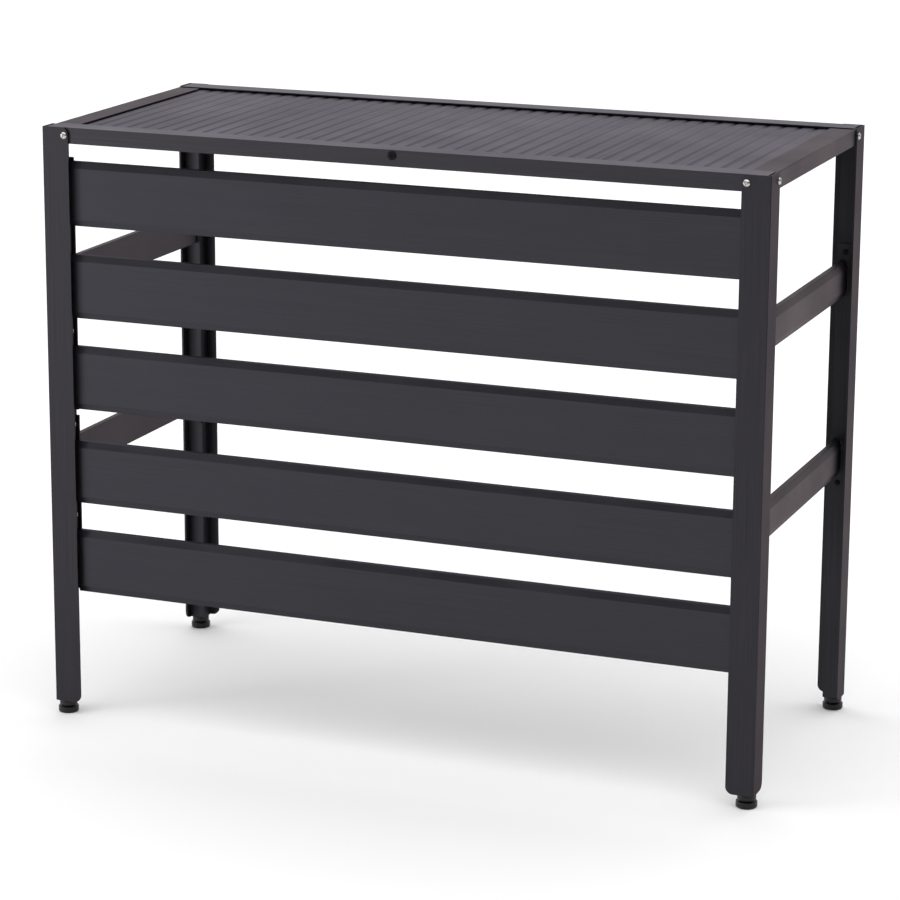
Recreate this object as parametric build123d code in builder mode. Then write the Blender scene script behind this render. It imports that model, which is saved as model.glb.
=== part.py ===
"""Slatted aluminium cover and stand for an outdoor air-conditioner unit.

Four extruded legs carry a top frame of four channel rails. Ribbed deck boards lie in
the top frame. Five louver slats close the front, two rails brace each side, and the back
is open. Each leg stands on a levelling foot that screws down out of the leg.

Frame: X to the right, Y to the rear, Z up. The origin is on the floor, under the middle.
Everything at the front left corner is modelled there and mirrored to the other corners.
"""
from build123d import *
import os

os.makedirs("parts", exist_ok=True)

# Overall size
width = 900.0
depth = 400.0
leg_length = 719.0
foot_height = 16.0
left = -width / 2
front = -depth / 2
leg_bottom = foot_height
leg_top = leg_bottom + leg_length
gap = 0.1  # play between pieces that slide or drop into each other

# Leg: a square tube in the outer corner with a fin along each outer face
tube = 22.0
tube_wall = 1.8
fin_reach = 34.0
fin_thickness = 2.5
fin_corner_radius = 9.0
leg_edge_radius = 0.8
tube_hollow = tube - fin_thickness - tube_wall
tube_axis = fin_thickness + tube_hollow / 2

# Top frame: channel rails behind the fins, on the cut-down ends of the tubes
rail_height = 19.5
rail_web = 2.0
rail_flange = 1.5
rail_lip = 30.0
rail_ledge = 21.0
rail_edge_radius = 0.6
end_rail_play = 2.5  # front and rear rails end this far from the side fins
side_rail_drop = 0.6
side_rail_start = 24.0
lip_gap_front = 0.5
lip_gap_rear = 6.0

# Deck boards, which run from front to rear
board_pitch = 100.0
narrow_board = 60.0
board_gap = 0.3
board_end = 12.0  # from the leg face to the board's end
board_top = leg_top - 2.8
board_bottom = leg_top - rail_height + rail_flange
groove_pitch = 20.0
groove_width = 7.6
groove_depth = 1.0
board_skin = 1.3
port_wall = 1.3  # around the bore for the lock screw
tongue = 2.5
tongue_height = 3.0

# Louver slats and the brackets that carry their ends
slat_height = 78.0
slat_pitch = 113.0
panel_step = 5.0  # extra space between the upper three slats and the lower two
slat_recess = 9.0
slat_start = 30.5
top_slat = leg_bottom + 677.0
blade_depth = 10.0
blade_margin = 8.0
blade_bevel = 2.5
blade_wall = 1.3
bracket_web = 2.5
bracket_reach = 28.5
bracket_back = 25.0
bracket_front = 4.0
bracket_top = leg_bottom + 680.0
bracket_split = leg_bottom + 362.0
bracket_notch = 7.0
bracket_bottom = leg_bottom + 142.0
bracket_screw_y = front + 15.0
bracket_screw_heights = [leg_bottom + z for z in (638.0, 468.5, 352.0, 237.5)]
plug_screw_offset = 22.0
plug_tongue = 14.0
plug_head_margin = 5.0
plug_head_inset = 1.0  # from each face of the slat
plug_tongue_margin = 9.0
plug_relief = 12.0
plug_relief_depth = 3.5

# Side rails and their end connectors
side_rail_height = 43.0
side_rail_inset = 8.7
side_rail_bottoms = {"upper": leg_bottom + 513.0, "lower": leg_bottom + 290.0}
connector_thickness = 2.5
connector_tab = 21.0
connector_screw_reach = 11.0  # from the side rail's edge to the screw in the tab
connector_side = 3.0
connector_width = 18.0
connector_corner_radius = 1.5
connector_plug = 20.0  # how far it reaches into the rail's hollow
connector_plug_margin = 9.0

# Fasteners: head radius, head height, shank radius, length
corner_screw = {"head": 4.3, "rise": 2.6, "shank": 2.5, "length": 11.0}
bracket_screw = {"head": 4.3, "rise": 2.6, "shank": 2.4, "length": 12.0}
connector_screw = {"head": 3.5, "rise": 2.2, "shank": 2.0, "length": 10.0}
lock_screw = {"head": 5.4, "rise": 2.2, "shank": 2.1, "length": 25.0}
corner_screw_inset = 28.5
corner_screw_drop = 9.5
lock_screw_drop = 6.6
nut_across_flats = 8.0
nut_thickness = 4.0
plug_screw_radius = 2.0
plug_screw_head = 3.8
plug_screw_length = 17.0
dome_edge = 0.35  # height of a domed head's straight edge, as a share of its rise
recess_span = 1.1
recess_width = 0.22

# Levelling foot
pad_radius = 12.5
pad_height = 7.5
collar_radius = 11.0
collar_bottom = 9.2
neck_radius = 7.0
stud_radius = 4.0
stud_top = leg_bottom + 32.0
socket_bottom = 3.0
insert_height = 25.0
insert_lead = 1.0
pad_lower_round = 2.0
pad_upper_round = 0.8
collar_round = 0.8
stud_lead = 0.8

# Positions shared by several pieces
rail_face_x = left + fin_thickness
rail_face_y = front + fin_thickness
end_rail_start = rail_face_x + end_rail_play
corner_screw_z = leg_top - corner_screw_drop
lock_z = leg_top - lock_screw_drop
foot_x = left + tube_axis
foot_y = front + tube_axis
bracket_x = left + tube
plug_face = bracket_x + bracket_web
slat_bottoms = [top_slat - slat_height - slat_pitch * i - (panel_step if i > 2 else 0) for i in range(5)]
slat_face = front + slat_recess
slat_end = left + slat_start
plug_y = slat_face + blade_depth / 2
side_rail_x = left + side_rail_inset
side_rail_start_y = front + tube + connector_thickness
connector_screw_x = left + connector_side + connector_width / 2
connector_screw_heights = {
    "upper": side_rail_bottoms["upper"] + side_rail_height + connector_screw_reach,
    "lower": side_rail_bottoms["lower"] - connector_screw_reach,
}

corners = ["front_left", "front_right", "rear_left", "rear_right"]
MIN3 = (Align.MIN, Align.MIN, Align.MIN)
MIN2 = (Align.MIN, Align.MIN)


def save(piece, name):
    piece.label = name
    export_step(piece, f"parts/{name}.step")


def at_corner(piece, corner):
    """Mirror a front left piece to the named corner."""
    if "right" in corner:
        piece = mirror(piece, about=Plane.YZ)
    if "rear" in corner:
        piece = mirror(piece, about=Plane.XZ)
    return piece


def cut_box(low, high):
    """Cut a box, given by two corners, from the part being built."""
    with Locations(low):
        Box(*(h - l for l, h in zip(low, high)), align=MIN3, mode=Mode.SUBTRACT)


# ---------------------------------------------------------------- legs

def leg(is_front):
    with BuildPart() as piece:
        with BuildSketch(Plane.XY.offset(leg_bottom)):
            with Locations((left, front)):
                Rectangle(tube, tube, align=MIN2)
                Rectangle(fin_reach, fin_thickness, align=MIN2)
                Rectangle(fin_thickness, fin_reach, align=MIN2)
            with Locations((left + fin_thickness, front + fin_thickness)):
                Rectangle(tube_hollow, tube_hollow, align=MIN2, mode=Mode.SUBTRACT)
        extrude(amount=leg_length)
        outer_edge = piece.edges().filter_by(Axis.Z).sort_by_distance((left, front, leg_top / 2))[0]
        fillet(outer_edge, radius=leg_edge_radius)
        # the tube stops below the rails, and only the two fins go on to the top
        cut_box(
            (left + fin_thickness, front + fin_thickness, leg_top - rail_height),
            (left + fin_reach + 1, front + fin_reach + 1, leg_top + 1),
        )
        free_end_x = left + fin_reach
        free_end_y = front + fin_reach
        fin_corners = piece.edges().filter_by(Axis.Y).filter_by_position(Axis.X, free_end_x, free_end_x)
        fin_corners += piece.edges().filter_by(Axis.X).filter_by_position(Axis.Y, free_end_y, free_end_y)
        fillet(fin_corners, radius=fin_corner_radius)
        corner_hole = corner_screw["shank"] + gap
        with Locations((left + corner_screw_inset, front, corner_screw_z)):
            Cylinder(corner_hole, 3 * fin_thickness, rotation=(90, 0, 0), mode=Mode.SUBTRACT)
        with Locations((left, front + corner_screw_inset, corner_screw_z)):
            Cylinder(corner_hole, 3 * fin_thickness, rotation=(0, 90, 0), mode=Mode.SUBTRACT)
        connector_hole = connector_screw["shank"] + gap
        with Locations(*[(connector_screw_x, front + tube, z) for z in connector_screw_heights.values()]):
            Cylinder(connector_hole, 3 * tube_wall, rotation=(90, 0, 0), mode=Mode.SUBTRACT)
        if is_front:
            bracket_hole = bracket_screw["shank"] + gap
            with Locations(*[(bracket_x, bracket_screw_y, z) for z in bracket_screw_heights]):
                Cylinder(bracket_hole, 3 * tube_wall, rotation=(0, 90, 0), mode=Mode.SUBTRACT)
    return piece.part


front_leg = leg(is_front=True)
rear_leg = leg(is_front=False)
for corner in corners:
    save(at_corner(front_leg if "front" in corner else rear_leg, corner), f"leg_{corner}")

# ---------------------------------------------------------------- levelling feet

with BuildPart() as foot_insert:
    with BuildSketch(Plane.XY.offset(leg_bottom)):
        with Locations((foot_x, foot_y)):
            Rectangle(tube_hollow - gap, tube_hollow - gap)
            Circle(stud_radius + gap / 2, mode=Mode.SUBTRACT)
    extrude(amount=insert_height)
    chamfer(foot_insert.faces().sort_by(Axis.Z)[-1].outer_wire().edges(), length=insert_lead)

with BuildPart() as foot_pad:
    with BuildSketch(Plane.XY):
        with Locations((foot_x, foot_y)):
            Circle(pad_radius)
    extrude(amount=pad_height)
    fillet(foot_pad.edges().group_by(Axis.Z)[0], radius=pad_lower_round)
    fillet(foot_pad.edges().group_by(Axis.Z)[-1], radius=pad_upper_round)
    with BuildSketch(Plane.XY.offset(socket_bottom)):
        with Locations((foot_x, foot_y)):
            Circle(stud_radius + gap / 2)
    extrude(amount=pad_height, mode=Mode.SUBTRACT)

with BuildPart() as foot_stud:
    with BuildSketch(Plane.XY.offset(collar_bottom)):
        with Locations((foot_x, foot_y)):
            Circle(collar_radius)
    extrude(amount=leg_bottom - gap - collar_bottom)
    fillet(foot_stud.edges().filter_by(GeomType.CIRCLE), radius=collar_round)
    with BuildSketch(Plane.XY.offset(pad_height + gap)):
        with Locations((foot_x, foot_y)):
            Circle(neck_radius)
    extrude(amount=collar_bottom - pad_height)
    with BuildSketch(Plane.XY.offset(socket_bottom + gap)):
        with Locations((foot_x, foot_y)):
            Circle(stud_radius)
    extrude(amount=stud_top - socket_bottom - gap)
    chamfer(foot_stud.edges().group_by(Axis.Z)[-1], length=stud_lead)

for corner in corners:
    save(at_corner(foot_insert.part, corner), f"foot_insert_{corner}")
    save(at_corner(foot_pad.part, corner), f"foot_pad_{corner}")
    save(at_corner(foot_stud.part, corner), f"foot_stud_{corner}")

# ---------------------------------------------------------------- top frame


def rail_section():
    """Channel section from its outer top corner: x inwards, y down to minus rail_height."""
    with BuildSketch() as section:
        with BuildLine():
            Polyline(
                (0, -rail_height),
                (0, 0),
                (rail_lip, 0),
                (rail_lip, -rail_flange),
                (rail_web, -rail_flange),
                (rail_web, rail_flange - rail_height),
                (rail_ledge, rail_flange - rail_height),
                (rail_ledge, -rail_height),
                close=True,
            )
        make_face()
        fillet(section.vertices().sort_by_distance((0, 0))[0], radius=rail_edge_radius)
    return section.sketch


with BuildPart() as top_rail_front:
    with BuildSketch(Plane((end_rail_start, rail_face_y, leg_top), x_dir=(0, 1, 0), z_dir=(1, 0, 0))):
        add(rail_section())
    extrude(amount=-2 * end_rail_start)
    corner_screw_x = left + corner_screw_inset
    with Locations((corner_screw_x, rail_face_y, corner_screw_z), (-corner_screw_x, rail_face_y, corner_screw_z)):
        Cylinder(corner_screw["shank"] + gap, 3 * rail_web, rotation=(90, 0, 0), mode=Mode.SUBTRACT)
    with Locations((0, rail_face_y, lock_z)):
        Cylinder(lock_screw["shank"] + gap, 3 * rail_web, rotation=(90, 0, 0), mode=Mode.SUBTRACT)

with BuildPart() as top_rail_left:
    start_y = front + side_rail_start
    rail_top = leg_top - side_rail_drop
    with BuildSketch(Plane((rail_face_x, -start_y, rail_top), x_dir=(1, 0, 0), z_dir=(0, -1, 0))):
        add(rail_section())
    extrude(amount=-2 * start_y)
    # the lip stops short of the front and rear rails' lips
    lip_front = rail_face_y + rail_lip + lip_gap_front
    lip_rear = -(rail_face_y + rail_lip + lip_gap_rear)
    lip_floor = rail_top - rail_flange - gap
    cut_box((rail_face_x + rail_web, start_y, lip_floor), (rail_face_x + rail_lip, lip_front, leg_top))
    cut_box((rail_face_x + rail_web, lip_rear, lip_floor), (rail_face_x + rail_lip, -start_y, leg_top))
    side_screw_y = front + corner_screw_inset
    with Locations((rail_face_x, side_screw_y, corner_screw_z), (rail_face_x, -side_screw_y, corner_screw_z)):
        Cylinder(corner_screw["shank"] + gap, 3 * rail_web, rotation=(0, 90, 0), mode=Mode.SUBTRACT)

save(mirror(top_rail_front.part, about=Plane.XZ), "top_rail_rear")
save(top_rail_front.part, "top_rail_front")
save(mirror(top_rail_left.part, about=Plane.YZ), "top_rail_right")
save(top_rail_left.part, "top_rail_left")

# ---------------------------------------------------------------- deck boards

port_offset = 1.5 * groove_pitch
port_bore = lock_screw["shank"] + gap / 2


def deck_board(start_x, board_width):
    """Hollow ribbed board: tongue on the right edge, matching groove on the left."""
    low_x = start_x + board_gap / 2
    high_x = start_x + board_width - board_gap / 2
    cells = round(board_width / groove_pitch)
    middle_z = (board_top + board_bottom) / 2
    with BuildPart() as board:
        with BuildSketch(Plane.XZ.offset(-front - board_end)):
            with Locations((low_x, board_bottom)):
                Rectangle(high_x - low_x, board_top - board_bottom, align=MIN2)
            with Locations((high_x + tongue / 2, middle_z)):
                Rectangle(tongue, tongue_height)
            with Locations((low_x + tongue / 2, middle_z)):
                Rectangle(tongue + 2 * board_gap, tongue_height + 2 * gap, mode=Mode.SUBTRACT)
            for cell in range(cells):
                cell_low = start_x + cell * groove_pitch + board_skin / 2
                cell_high = cell_low + groove_pitch - board_skin
                if cell == 0:
                    cell_low = low_x + tongue + 2 * board_skin
                if cell == cells - 1:
                    cell_high = high_x - board_skin
                cell_top = board_top - groove_depth - board_skin
                with Locations((cell_low, board_bottom + board_skin)):
                    Rectangle(cell_high - cell_low, cell_top - board_bottom - board_skin,
                              align=MIN2, mode=Mode.SUBTRACT)
            with Locations((start_x + port_offset, lock_z)):
                Circle(port_bore + port_wall)
                Circle(port_bore, mode=Mode.SUBTRACT)
            # shallow round grooves, cut last so that they trim the port's wall too
            for cell in range(cells):
                groove_x = start_x + (cell + 0.5) * groove_pitch
                groove_ends = [(groove_x - groove_width / 2, board_top), (groove_x + groove_width / 2, board_top)]
                with BuildLine():
                    ThreePointArc(groove_ends[0], (groove_x, board_top - groove_depth), groove_ends[1])
                    Line(*groove_ends)
                make_face(mode=Mode.SUBTRACT)
        extrude(amount=-(depth - 2 * board_end))
    return board.part


board_widths = [board_pitch] * 6 + [narrow_board] + [board_pitch] * 2
board_x = -sum(board_widths) / 2
for number, board_width in enumerate(board_widths, start=1):
    save(deck_board(board_x, board_width), f"deck_board_{number}")
    board_x += board_width

# ---------------------------------------------------------------- louver slats


def blade_section(height):
    """Hollow blade section: x from the outer face inwards, y up from the lower edge."""
    with BuildSketch() as section:
        with BuildLine():
            Polyline(
                (blade_depth, 0),
                (blade_bevel, 0),
                (0, blade_margin),
                (0, height - blade_margin),
                (blade_bevel, height),
                (blade_depth, height),
                close=True,
            )
        make_face()
        offset(amount=-blade_wall, kind=Kind.INTERSECTION, mode=Mode.SUBTRACT)
    return section.sketch


for number, slat_bottom in enumerate(slat_bottoms, start=1):
    with BuildPart() as slat:
        with BuildSketch(Plane((slat_end, slat_face, slat_bottom), x_dir=(0, 1, 0), z_dir=(1, 0, 0))):
            add(blade_section(slat_height))
        extrude(amount=-2 * slat_end)
    save(slat.part, f"louver_slat_{number}")


def plug_screw_heights(slat_bottom):
    middle = slat_bottom + slat_height / 2
    return [middle - plug_screw_offset, middle + plug_screw_offset]


def louver_bracket(bottom, top, notch):
    """Angle bracket on the tube's inner face; its rear flange is notched over its lowest part."""
    slats_here = [z for z in slat_bottoms if bottom < z + slat_height / 2 < top]
    with BuildPart() as bracket:
        with BuildSketch(Plane.XY.offset(bottom)):
            with Locations((bracket_x, front + bracket_front)):
                Rectangle(bracket_web, bracket_back - bracket_front, align=MIN2)
            with Locations((bracket_x, front + bracket_back - bracket_web)):
                Rectangle(bracket_reach - tube, bracket_web, align=MIN2)
        extrude(amount=top - bottom)
        if notch:
            cut_box(
                (plug_face, front + bracket_back - bracket_web, bottom),
                (left + bracket_reach, front + bracket_back, bottom + notch),
            )
        with Locations(*[(bracket_x, bracket_screw_y, z) for z in bracket_screw_heights if bottom < z < top]):
            Cylinder(bracket_screw["shank"] + gap, 3 * bracket_web, rotation=(0, 90, 0), mode=Mode.SUBTRACT)
        # countersunk from the tube's side for the screws that hold the slats' end plugs
        plug_screws = [(bracket_x, plug_y, z) for slat_z in slats_here for z in plug_screw_heights(slat_z)]
        with Locations(*[Location(place, (0, -90, 0)) for place in plug_screws]):
            CounterSinkHole(plug_screw_radius + gap, plug_screw_head + gap, depth=2 * bracket_web)
    return bracket.part


lower_brackets = louver_bracket(bracket_bottom, bracket_split, 0)
upper_brackets = louver_bracket(bracket_split, bracket_top, bracket_notch)
for side in ["left", "right"]:
    save(at_corner(lower_brackets, side), f"louver_bracket_lower_{side}")
    save(at_corner(upper_brackets, side), f"louver_bracket_upper_{side}")


def end_plug(slat_bottom):
    """A thick head between the bracket and the slat, and a tongue in the slat's hollow."""
    head_height = slat_height - 2 * plug_head_margin
    tongue_thickness = blade_depth - 2 * blade_wall - 2 * gap
    middle_z = slat_bottom + slat_height / 2
    with BuildPart() as plug:
        with BuildSketch(Plane((plug_face, plug_y, middle_z), x_dir=(0, 1, 0), z_dir=(1, 0, 0))):
            Rectangle(blade_depth - 2 * plug_head_inset, head_height)
        extrude(amount=slat_end - plug_face)
        with BuildSketch(Plane((slat_end, plug_y, middle_z), x_dir=(0, 1, 0), z_dir=(1, 0, 0))):
            Rectangle(tongue_thickness, slat_height - 2 * plug_tongue_margin)
        extrude(amount=plug_tongue)
        # clearance for a bracket screw's head
        cut_box(
            (plug_face, slat_face, middle_z - plug_relief / 2),
            (plug_face + plug_relief_depth, slat_face + blade_depth, middle_z + plug_relief / 2),
        )
        with Locations(*[(plug_face, plug_y, z) for z in plug_screw_heights(slat_bottom)]):
            Cylinder(plug_screw_radius + gap / 2, plug_screw_length, rotation=(0, 90, 0),
                     align=(Align.CENTER, Align.CENTER, Align.MIN), mode=Mode.SUBTRACT)
    return plug.part


left_plugs = [end_plug(z) for z in slat_bottoms]
with BuildPart() as slat_end_plugs:
    add(left_plugs + [mirror(plug, about=Plane.YZ) for plug in left_plugs])
save(slat_end_plugs.part, "slat_end_plugs")

# ---------------------------------------------------------------- side rails

for level, rail_bottom in side_rail_bottoms.items():
    with BuildPart() as side_rail:
        rail_plane = Plane((side_rail_x, -side_rail_start_y, rail_bottom), x_dir=(1, 0, 0), z_dir=(0, -1, 0))
        with BuildSketch(rail_plane):
            add(blade_section(side_rail_height))
        extrude(amount=-2 * side_rail_start_y)

    tab_low = rail_bottom - (connector_tab if level == "lower" else 0)
    with BuildPart() as connector:
        with Locations((left + connector_side, front + tube, tab_low)):
            Box(connector_width, connector_thickness, side_rail_height + connector_tab, align=MIN3)
        fillet(connector.edges().filter_by(Axis.Y), radius=connector_corner_radius)
        plug_low = (side_rail_x + blade_wall + gap, side_rail_start_y, rail_bottom + connector_plug_margin)
        plug_thickness = blade_depth - 2 * blade_wall - 2 * gap
        with Locations(plug_low):
            Box(plug_thickness, connector_plug, side_rail_height - 2 * connector_plug_margin, align=MIN3)
        with Locations((connector_screw_x, front + tube, connector_screw_heights[level])):
            Cylinder(connector_screw["shank"] + gap, 3 * connector_thickness, rotation=(90, 0, 0),
                     mode=Mode.SUBTRACT)

    for side in ["left", "right"]:
        save(at_corner(side_rail.part, side), f"side_rail_{level}_{side}")
        with BuildPart() as connector_pair:
            add(at_corner(connector.part, side))
            add(at_corner(connector.part, "rear " + side))
        save(connector_pair.part, f"rail_connectors_{level}_{side}")

# ---------------------------------------------------------------- fasteners


def domed_screw(head, rise, shank, length):
    """Cross-recessed screw: the head stands on z = 0 and the shank hangs below."""
    with BuildPart() as screw:
        with BuildSketch(Plane.XZ):
            with BuildLine():
                edge = (head, rise * dome_edge)
                Polyline((0, rise), (0, -length), (shank, -length), (shank, 0), (head, 0), edge)
                ThreePointArc(edge, (head * 0.72, rise * 0.86), (0, rise))
            make_face()
        revolve(axis=Axis.Z)
        with Locations((0, 0, rise)):
            for turn in (0, 90):
                Box(head * recess_span, head * recess_width, rise * recess_span, rotation=(0, 0, turn),
                    mode=Mode.SUBTRACT)
    return screw.part


def group(piece, places):
    """One node of separate copies of a fastener."""
    with BuildPart() as copies:
        with Locations(*places):
            add(piece)
    return copies.part


FACE_FRONT, FACE_REAR, FACE_LEFT, FACE_RIGHT = (90, 0, 0), (-90, 0, 0), (0, -90, 0), (0, 90, 0)


def corner_places(inset):
    """Places of the eight corner fasteners, inset from the outer faces."""
    places = []
    for sign_x in (-1, 1):
        for sign_y in (-1, 1):
            facing_y = FACE_FRONT if sign_y < 0 else FACE_REAR
            facing_x = FACE_LEFT if sign_x < 0 else FACE_RIGHT
            x_near = -sign_x * (left + corner_screw_inset)
            y_near = -sign_y * (front + corner_screw_inset)
            places.append(Location((x_near, -sign_y * (front + inset), corner_screw_z), facing_y))
            places.append(Location((-sign_x * (left + inset), y_near, corner_screw_z), facing_x))
    return places


save(group(domed_screw(**corner_screw), corner_places(0)), "corner_screws")

with BuildPart() as nut:
    with BuildSketch(Plane.XY.offset(-nut_thickness)):
        RegularPolygon(nut_across_flats / 2, 6, major_radius=False)
        Circle(corner_screw["shank"] + gap / 2, mode=Mode.SUBTRACT)
    extrude(amount=nut_thickness)
save(group(nut.part, corner_places(fin_thickness + rail_web)), "corner_nuts")

lock_places = [
    Location((0, rail_face_y, lock_z), FACE_FRONT),
    Location((0, -rail_face_y, lock_z), FACE_REAR),
]
save(group(domed_screw(**lock_screw), lock_places), "deck_lock_screws")

bracket_places = [Location((plug_face, bracket_screw_y, z), FACE_RIGHT) for z in bracket_screw_heights]
bracket_places += [Location((-plug_face, bracket_screw_y, z), FACE_LEFT) for z in bracket_screw_heights]
save(group(domed_screw(**bracket_screw), bracket_places), "bracket_screws")

connector_places = []
for z in connector_screw_heights.values():
    for x in (connector_screw_x, -connector_screw_x):
        connector_places.append(Location((x, side_rail_start_y, z), FACE_REAR))
        connector_places.append(Location((x, -side_rail_start_y, z), FACE_FRONT))
save(group(domed_screw(**connector_screw), connector_places), "connector_screws")

with BuildPart() as plug_screw:
    with BuildSketch(Plane.XZ):
        with BuildLine():
            head_drop = plug_screw_head - plug_screw_radius
            Polyline(
                (0, -gap),
                (plug_screw_head - gap, -gap),
                (plug_screw_radius, -head_drop),
                (plug_screw_radius, -plug_screw_length),
                (0, -plug_screw_length),
                close=True,
            )
        make_face()
    revolve(axis=Axis.Z)
plug_screw_places = []
for slat_bottom in slat_bottoms:
    for z in plug_screw_heights(slat_bottom):
        plug_screw_places.append(Location((bracket_x, plug_y, z), FACE_LEFT))
        plug_screw_places.append(Location((-bracket_x, plug_y, z), FACE_RIGHT))
save(group(plug_screw.part, plug_screw_places), "slat_screws")
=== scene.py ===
"""Looks for the slatted air-conditioner cover stand: coatings, screws, feet, light and camera."""
import math

import bpy
import bmesh
from mathutils import Matrix, Vector


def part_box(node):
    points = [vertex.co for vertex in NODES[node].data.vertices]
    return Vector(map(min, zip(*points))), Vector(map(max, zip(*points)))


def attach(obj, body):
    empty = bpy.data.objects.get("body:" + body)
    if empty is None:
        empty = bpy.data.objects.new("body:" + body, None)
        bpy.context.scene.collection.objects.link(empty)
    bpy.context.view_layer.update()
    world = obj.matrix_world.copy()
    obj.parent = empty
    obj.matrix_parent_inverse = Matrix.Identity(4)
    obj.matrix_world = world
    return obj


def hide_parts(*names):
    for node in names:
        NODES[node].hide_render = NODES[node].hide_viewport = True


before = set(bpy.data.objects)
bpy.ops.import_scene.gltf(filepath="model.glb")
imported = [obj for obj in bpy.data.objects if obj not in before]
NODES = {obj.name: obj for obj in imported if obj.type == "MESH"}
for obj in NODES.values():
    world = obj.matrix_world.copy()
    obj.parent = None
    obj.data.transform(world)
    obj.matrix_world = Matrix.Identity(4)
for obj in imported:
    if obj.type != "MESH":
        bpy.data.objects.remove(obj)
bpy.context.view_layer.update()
scene = bpy.context.scene

MM = 0.001
CORNERS = ("front_left", "front_right", "rear_left", "rear_right")


# ---------------------------------------------------------------- materials

def new_material(name, color, metallic, roughness, specular=0.5):
    """A Principled material; the constant values stand on the shader's own sockets."""
    material = bpy.data.materials.new(name)
    material.use_nodes = True
    tree = material.node_tree
    shader = tree.nodes["Principled BSDF"]
    shader.inputs["Base Color"].default_value = (*color, 1.0)
    shader.inputs["Metallic"].default_value = metallic
    shader.inputs["Roughness"].default_value = roughness
    shader.inputs["Specular IOR Level"].default_value = specular
    shader.inputs["IOR"].default_value = 1.5
    return material, tree, shader


def scaled_coordinates(tree, scale):
    """Object coordinates, in metres, stretched by scale along X, Y and Z."""
    place = tree.nodes.new("ShaderNodeTexCoord")
    mapping = tree.nodes.new("ShaderNodeMapping")
    mapping.inputs["Scale"].default_value = scale
    tree.links.new(place.outputs["Object"], mapping.inputs["Vector"])
    return mapping.outputs["Vector"]


def noise(tree, scale, detail=2.0, roughness=0.5):
    texture = tree.nodes.new("ShaderNodeTexNoise")
    texture.inputs["Scale"].default_value = 1.0
    texture.inputs["Detail"].default_value = detail
    texture.inputs["Roughness"].default_value = roughness
    tree.links.new(scaled_coordinates(tree, scale), texture.inputs["Vector"])
    return texture.outputs["Fac"]


def remap(tree, value, low, high, out_low, out_high):
    node = tree.nodes.new("ShaderNodeMapRange")
    node.inputs["From Min"].default_value = low
    node.inputs["From Max"].default_value = high
    node.inputs["To Min"].default_value = out_low
    node.inputs["To Max"].default_value = out_high
    tree.links.new(value, node.inputs["Value"])
    return node.outputs["Result"]


def mix_colors(tree, factor, first, second):
    node = tree.nodes.new("ShaderNodeMix")
    node.data_type = "RGBA"
    tree.links.new(factor, node.inputs["Factor"])
    for socket, color in ((node.inputs["A"], first), (node.inputs["B"], second)):
        if isinstance(color, tuple):
            socket.default_value = (*color, 1.0)
        else:
            tree.links.new(color, socket)
    return node.outputs["Result"]


def bump(tree, height, strength, distance, base=None):
    node = tree.nodes.new("ShaderNodeBump")
    node.inputs["Strength"].default_value = strength
    node.inputs["Distance"].default_value = distance
    tree.links.new(height, node.inputs["Height"])
    if base is not None:
        tree.links.new(base, node.inputs["Normal"])
    return node.outputs["Normal"]


def shade(color, factor):
    return tuple(c * factor for c in color)


ACROSS = 1500.0     # grain lines per metre across the extrusion
ALONG = 7.0         # and along it
SPECKLE = 2600.0    # the coating's fine grit, per metre
# the coating's faint tint where it mirrors the room edge-on
VIOLET_GLARE = (0.95, 0.90, 1.0)
WARM_GLARE = (1.0, 0.91, 0.93)


def coated_aluminium(name, color, roughness, run, grain=0.16, grazing=0.45, glare=VIOLET_GLARE):
    """Dark satin anodised aluminium; run is the axis that the extrusion follows.

    grain is the contrast of its drawn lines, grazing is how much of a bare metal's glare is left
    where the surface is seen edge-on, and glare is the tint that it has there.
    """
    scale = [ACROSS] * 3
    scale["XYZ".index(run)] = ALONG
    material, tree, shader = new_material(name, color, metallic=0.88, roughness=roughness)
    shader.inputs["Specular Tint"].default_value = (*shade(glare, grazing), 1.0)
    lines = noise(tree, tuple(scale), detail=3.0, roughness=0.6)
    cloud = noise(tree, (9.0, 9.0, 9.0), detail=4.0)
    speckle = noise(tree, (SPECKLE,) * 3, detail=1.0)
    tint = remap(tree, lines, 0.3, 0.7, 0.0, 1.0)
    streaked = mix_colors(tree, tint, shade(color, 1 - grain), shade(color, 1 + grain))
    # light dust and handling marks, in soft patches
    dusty = tuple(c * 1.2 + 0.003 for c in color)
    patches = remap(tree, cloud, 0.5, 0.85, 0.0, 0.3)
    tree.links.new(mix_colors(tree, patches, streaked, dusty), shader.inputs["Base Color"])
    gloss = remap(tree, cloud, 0.25, 0.8, roughness - 0.05, roughness + 0.09)
    tree.links.new(gloss, shader.inputs["Roughness"])
    drawn = bump(tree, lines, strength=0.16, distance=0.12 * MM)
    gritty = bump(tree, speckle, strength=0.22, distance=0.05 * MM, base=drawn)
    tree.links.new(gritty, shader.inputs["Normal"])
    return material


def moulded_plastic(name, color, roughness):
    """Black plastic with a fine moulded grain, paler and rougher where it is scuffed."""
    material, tree, shader = new_material(name, color, metallic=0.0, roughness=roughness, specular=0.3)
    grain = noise(tree, (1500.0,) * 3, detail=3.0)
    scuffs = noise(tree, (160.0, 160.0, 420.0), detail=5.0, roughness=0.7)
    worn = remap(tree, scuffs, 0.52, 0.78, 0.0, 0.55)
    scuffed = tuple(c + 0.012 for c in color)
    tree.links.new(mix_colors(tree, worn, color, scuffed), shader.inputs["Base Color"])
    gloss = remap(tree, scuffs, 0.3, 0.8, roughness - 0.08, roughness + 0.15)
    tree.links.new(gloss, shader.inputs["Roughness"])
    tree.links.new(bump(tree, grain, strength=0.3, distance=0.08 * MM), shader.inputs["Normal"])
    return material


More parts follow.
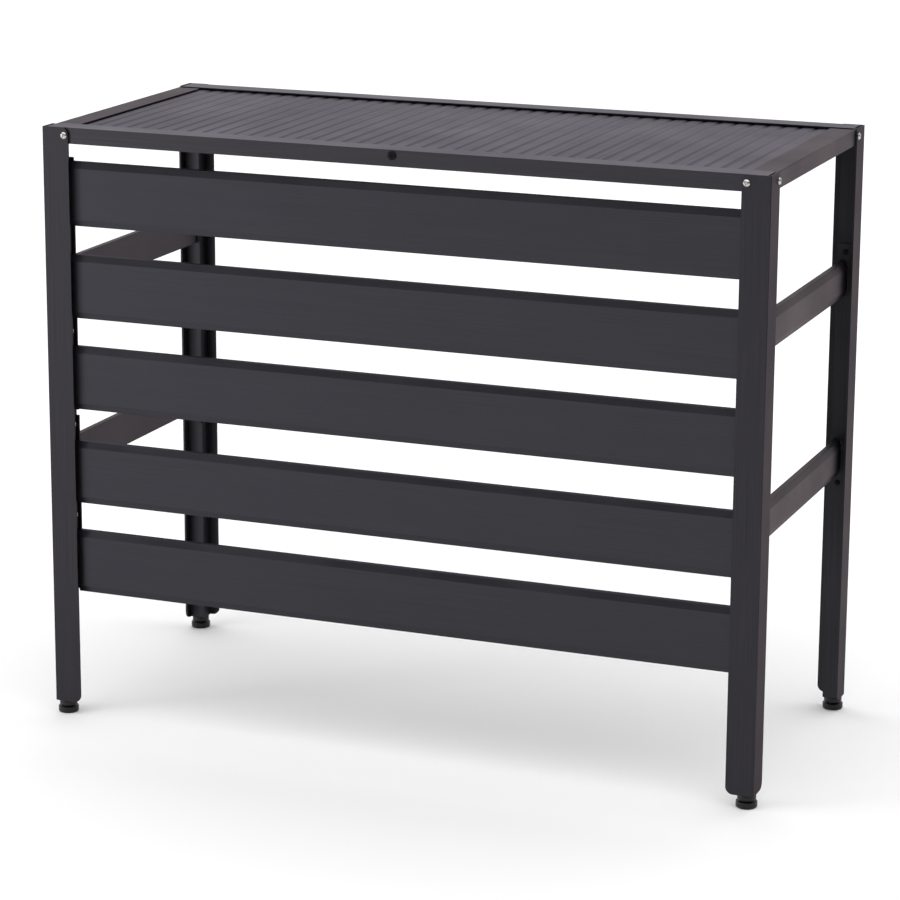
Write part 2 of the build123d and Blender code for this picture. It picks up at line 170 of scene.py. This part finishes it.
def screw_metal(name, color, roughness, metallic=1.0, specular=0.5):
    """A turned and plated head, with tooling marks and slight smudges."""
    material, tree, shader = new_material(name, color, metallic, roughness, specular=specular)
    tooling = noise(tree, (2400.0, 2400.0, 2400.0), detail=4.0, roughness=0.65)
    smudge = noise(tree, (300.0, 300.0, 300.0), detail=2.0)
    shaded = mix_colors(tree, remap(tree, smudge, 0.35, 0.7, 0.0, 1.0), shade(color, 0.82), color)
    tree.links.new(shaded, shader.inputs["Base Color"])
    gloss = remap(tree, tooling, 0.3, 0.7, roughness - 0.06, roughness + 0.1)
    tree.links.new(gloss, shader.inputs["Roughness"])
    tree.links.new(bump(tree, tooling, strength=0.25, distance=0.04 * MM), shader.inputs["Normal"])
    return material


LEG_COLOR = (0.0355, 0.0340, 0.0392)
RAIL_COLOR = (0.0405, 0.0388, 0.0450)
SLAT_COLOR = (0.0405, 0.0402, 0.0475)
BRACE_COLOR = (0.0280, 0.0272, 0.0312)
DECK_COLOR = (0.0455, 0.0428, 0.0492)
BRACKET_COLOR = (0.0260, 0.0260, 0.0285)

leg_coating = coated_aluminium("leg_coating", LEG_COLOR, 0.42, run="Z", grain=0.22, grazing=0.55,
                               glare=WARM_GLARE)
front_rail_coating = coated_aluminium("rail_coating_x", RAIL_COLOR, 0.42, run="X", grazing=1.0)
side_rail_coating = coated_aluminium("rail_coating_y", RAIL_COLOR, 0.42, run="Y", grazing=0.70,
                                     glare=WARM_GLARE)
slat_coating = coated_aluminium("slat_coating_x", SLAT_COLOR, 0.36, run="X", grain=0.08)
brace_coating = coated_aluminium("slat_coating_y", BRACE_COLOR, 0.40, run="Y", grain=0.08, grazing=0.76,
                                 glare=WARM_GLARE)
deck_coating = coated_aluminium("deck_coating", DECK_COLOR, 0.43, run="Y", grain=0.12, grazing=0.92)
bracket_coating = coated_aluminium("bracket_coating", BRACKET_COLOR, 0.5, run="Z")
foot_plastic = moulded_plastic("foot_plastic", (0.006, 0.006, 0.007), 0.38)
inner_plastic = moulded_plastic("inner_plastic", (0.014, 0.014, 0.015), 0.55)
stud_plastic = moulded_plastic("foot_stud", (0.007, 0.007, 0.008), 0.34)
stainless = screw_metal("stainless", (0.56, 0.55, 0.53), 0.20)
plated = screw_metal("plated_nut", (0.52, 0.52, 0.50), 0.33)
black_screw = screw_metal("black_screw", (0.006, 0.006, 0.007), 0.5, metallic=0.0, specular=0.12)

FINISHES = [
    ("leg_", leg_coating),
    ("top_rail_front", front_rail_coating),
    ("top_rail_rear", front_rail_coating),
    ("top_rail_", side_rail_coating),
    ("deck_board_", deck_coating),
    ("louver_slat_", slat_coating),
    ("louver_bracket_", bracket_coating),
    ("side_rail_", brace_coating),
    ("rail_connectors_", inner_plastic),
    ("slat_end_plugs", inner_plastic),
    ("foot_insert_", inner_plastic),
    ("foot_pad_", foot_plastic),
    ("foot_stud_", stud_plastic),
    ("corner_screws", stainless),
    ("bracket_screws", stainless),
    ("corner_nuts", plated),
    ("connector_screws", black_screw),
    ("deck_lock_screws", black_screw),
    ("slat_screws", black_screw),
]


def finish_of(node):
    return next(material for prefix, material in FINISHES if node.startswith(prefix))


def soften(node, width):
    """A fine round on a node's sharp edges, so that they catch the light as drawn metal does."""
    weld = node.modifiers.new("weld", "WELD")
    weld.merge_threshold = 0.002 * MM
    flat = node.modifiers.new("flat", "DECIMATE")
    flat.decimate_type = "DISSOLVE"
    flat.angle_limit = math.radians(0.5)
    bevel = node.modifiers.new("edge", "BEVEL")
    bevel.width = width
    bevel.segments = 2
    bevel.limit_method = "ANGLE"
    bevel.angle_limit = math.radians(30)
    bevel.harden_normals = False


EDGE_ROUND = [
    ("leg_", 0.30 * MM),
    ("top_rail_", 0.30 * MM),
    ("louver_slat_", 0.35 * MM),
    ("side_rail_", 0.35 * MM),
    ("deck_board_", 0.40 * MM),
]

for name, node in NODES.items():
    node.data.materials.clear()
    node.data.materials.append(finish_of(name))
    for prefix, width in EDGE_ROUND:
        if name.startswith(prefix):
            soften(node, width)


# ---------------------------------------------------------------- threaded studs

PITCH = 1.25 * MM
THREAD_RADIUS = 4.0 * MM
THREAD_DEPTH = 0.65 * MM
THREAD_START = 0.2 * MM              # above the collar
TIP_CHAMFER = (0.8 * MM, 0.9 * MM)   # height and depth at the stud's upper end
RINGS_PER_PITCH = 8
SIDES = 80

NECK_HEIGHT = 1.6 * MM
NECK_RADIUS = 7.0 * MM
NECK_FLARE = (0.3 * MM, 1.0 * MM)    # height and width of the flare under the collar
COLLAR_HEIGHT = 6.7 * MM
COLLAR_RADIUS = 11.0 * MM
COLLAR_RIM = ((0.0, 0.8 * MM), (0.3 * MM, 0.2 * MM), (0.8 * MM, 0.0))   # (rise, inset) round its edge
LEG_CLEARANCE = 0.1 * MM             # between the collar and the leg's end
FLUTES = 20
FLUTE_DEPTH = 0.35 * MM


def collar_profile(low, high):
    """The collar's wall, fluted between its two plain rims."""
    rows = [(low + rise, inset) for rise, inset in COLLAR_RIM]
    rows += [(high - rise, inset) for rise, inset in reversed(COLLAR_RIM)]
    return [(z, COLLAR_RADIUS - inset, "plain" if z in (low, high) else "flute") for z, inset in rows]


def stud_profile(low, high):
    """(z, radius, kind) up the stud: foot end, neck, fluted collar, then the thread."""
    collar_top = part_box("leg_front_left")[0].z - LEG_CLEARANCE
    collar_low = collar_top - COLLAR_HEIGHT
    neck_low = collar_low - NECK_HEIGHT
    flare_height, flare_width = NECK_FLARE
    tip_height, tip_depth = TIP_CHAMFER
    rows = [
        (low, 0.0, "plain"),
        (low, THREAD_RADIUS, "plain"),
        (neck_low, THREAD_RADIUS, "plain"),
        (neck_low, NECK_RADIUS, "plain"),
        (collar_low - flare_height, NECK_RADIUS, "plain"),
        (collar_low, NECK_RADIUS + flare_width, "plain"),
    ]
    rows += collar_profile(collar_low, collar_top)
    rows.append((collar_top, THREAD_RADIUS - THREAD_DEPTH, "plain"))
    thread_start = collar_top + THREAD_START
    step = PITCH / RINGS_PER_PITCH
    count = int((high - tip_height - thread_start) / step)
    rows += [(thread_start + step * i, THREAD_RADIUS, "thread") for i in range(count + 1)]
    rows += [(high, THREAD_RADIUS - tip_depth, "plain"), (high, 0.0, "plain")]
    return rows


def thread_radius(radius, z, angle):
    """An ISO-like trapezoid thread, right-handed: the crest climbs as the angle grows."""
    phase = (z / PITCH - angle / (2 * math.pi)) % 1.0
    ramp = abs(phase - 0.5) * 2
    return radius - THREAD_DEPTH * min(1.0, max(0.0, (ramp - 0.15) / 0.7))


def radius_at(z, radius, kind, angle):
    if kind == "flute":
        return radius - FLUTE_DEPTH * (0.5 - 0.5 * math.cos(FLUTES * angle))
    if kind == "thread":
        return thread_radius(radius, z, angle)
    return radius


def stud_mesh(name, center, rows):
    """The profile's rows turned round the stud's axis, as one closed mesh."""
    mesh = bpy.data.meshes.new(name)
    shape = bmesh.new()
    rings = []
    for z, radius, kind in rows:
        ring = []
        for side in range(SIDES if radius else 1):
            angle = 2 * math.pi * side / SIDES
            r = radius_at(z, radius, kind, angle)
            place = (center[0] + r * math.cos(angle), center[1] + r * math.sin(angle), z)
            ring.append(shape.verts.new(place))
        rings.append(ring)
    for lower, upper in zip(rings, rings[1:]):
        for side in range(SIDES):
            after = (side + 1) % SIDES
            if len(lower) == 1:
                shape.faces.new((lower[0], upper[after], upper[side]))
            elif len(upper) == 1:
                shape.faces.new((lower[side], lower[after], upper[0]))
            else:
                shape.faces.new((lower[side], lower[after], upper[after], upper[side]))
    bmesh.ops.recalc_face_normals(shape, faces=shape.faces)
    shape.to_mesh(mesh)
    shape.free()
    for polygon in mesh.polygons:
        polygon.use_smooth = True
    mesh.set_sharp_from_angle(angle=math.radians(40))
    piece = bpy.data.objects.new(name, mesh)
    scene.collection.objects.link(piece)
    return piece


for corner in CORNERS:
    node_name = f"foot_stud_{corner}"
    low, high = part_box(node_name)
    center = ((low.x + high.x) / 2, (low.y + high.y) / 2)
    stud = stud_mesh(f"threaded_stud_{corner}", center, stud_profile(low.z, high.z))
    stud.data.materials.append(stud_plastic)
    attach(stud, node_name)
    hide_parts(node_name)


# ---------------------------------------------------------------- floor, light, camera

# brightness of the room's walls and ceiling; the right wall is a share of what it would be
FRONT_WALL = 0.22
BACK_WALL = 0.85
RIGHT_SHARE = 0.5
CEILING = 1.7


def multiply(tree, first, second):
    node = tree.nodes.new("ShaderNodeMath")
    node.operation = "MULTIPLY"
    tree.links.new(first, node.inputs[0])
    tree.links.new(second, node.inputs[1])
    return node.outputs["Value"]


def surround():
    """A soft white room: a bright ceiling, a bright back wall, and dimmer front and right walls."""
    world = bpy.data.worlds.new("studio")
    world.use_nodes = True
    tree = world.node_tree
    place = tree.nodes.new("ShaderNodeTexCoord")
    split = tree.nodes.new("ShaderNodeSeparateXYZ")
    tree.links.new(place.outputs["Generated"], split.inputs["Vector"])
    wall = remap(tree, split.outputs["Y"], -0.1, 0.6, FRONT_WALL, BACK_WALL)
    side = remap(tree, split.outputs["X"], 0.25, 0.6, 1.0, RIGHT_SHARE)
    walls = multiply(tree, wall, side)
    ceiling = remap(tree, split.outputs["Z"], 0.40, 0.75, 0.0, 1.0)
    mix = tree.nodes.new("ShaderNodeMix")
    mix.data_type = "FLOAT"
    tree.links.new(ceiling, mix.inputs["Factor"])
    tree.links.new(walls, mix.inputs["A"])
    mix.inputs["B"].default_value = CEILING
    tree.links.new(mix.outputs["Result"], tree.nodes["Background"].inputs["Strength"])
    tree.nodes["Background"].inputs["Color"].default_value = (1.0, 0.995, 1.0, 1.0)
    scene.world = world


FLOOR_REACH = 30.0
FLOOR_WHITE = (0.93, 0.93, 0.93)


def studio_floor():
    mesh = bpy.data.meshes.new("floor")
    corners = [(x * FLOOR_REACH, y * FLOOR_REACH, 0) for x, y in ((-1, -1), (1, -1), (1, 1), (-1, 1))]
    mesh.from_pydata(corners, [], [(0, 1, 2, 3)])
    floor = bpy.data.objects.new("floor", mesh)
    scene.collection.objects.link(floor)
    material, _, _ = new_material("floor_white", FLOOR_WHITE, metallic=0.0, roughness=0.8, specular=0.2)
    mesh.materials.append(material)


KEY_PLACE = Vector((-3.5, -2.8, 0.7))
KEY_TARGET = Vector((0.0, 0.0, 0.4))
KEY_SIZE = 0.9
KEY_POWER = 45


def key_light():
    """A low soft box to the front left, which lifts the louvers' left ends."""
    data = bpy.data.lights.new("front_left_key", "AREA")
    data.shape = "RECTANGLE"
    data.size = data.size_y = KEY_SIZE
    data.energy = KEY_POWER
    light = bpy.data.objects.new("front_left_key", data)
    scene.collection.objects.link(light)
    light.location = KEY_PLACE
    light.rotation_euler = (KEY_TARGET - KEY_PLACE).to_track_quat("-Z", "Y").to_euler()


CAMERA_PLACE = (1.4169, -3.6088, 1.3336)
YAW, PITCH_DOWN, ROLL = (math.radians(angle) for angle in (21.986, 13.984, 0.213))
LENS = 130.66
SHIFT = (0.03, -0.03)


def photo_camera():
    data = bpy.data.cameras.new("camera")
    data.sensor_width = 36.0
    data.lens = LENS
    data.shift_x, data.shift_y = SHIFT
    data.clip_end = 100.0
    camera = bpy.data.objects.new("camera", data)
    scene.collection.objects.link(camera)
    camera.location = CAMERA_PLACE
    aim = Matrix.Rotation(YAW, 3, "Z") @ Matrix.Rotation(math.pi / 2 - PITCH_DOWN, 3, "X")
    camera.rotation_euler = (aim @ Matrix.Rotation(ROLL, 3, "Z")).to_euler()
    scene.camera = camera


studio_floor()
surround()
key_light()
photo_camera()
scene.view_settings.view_transform = "Standard"
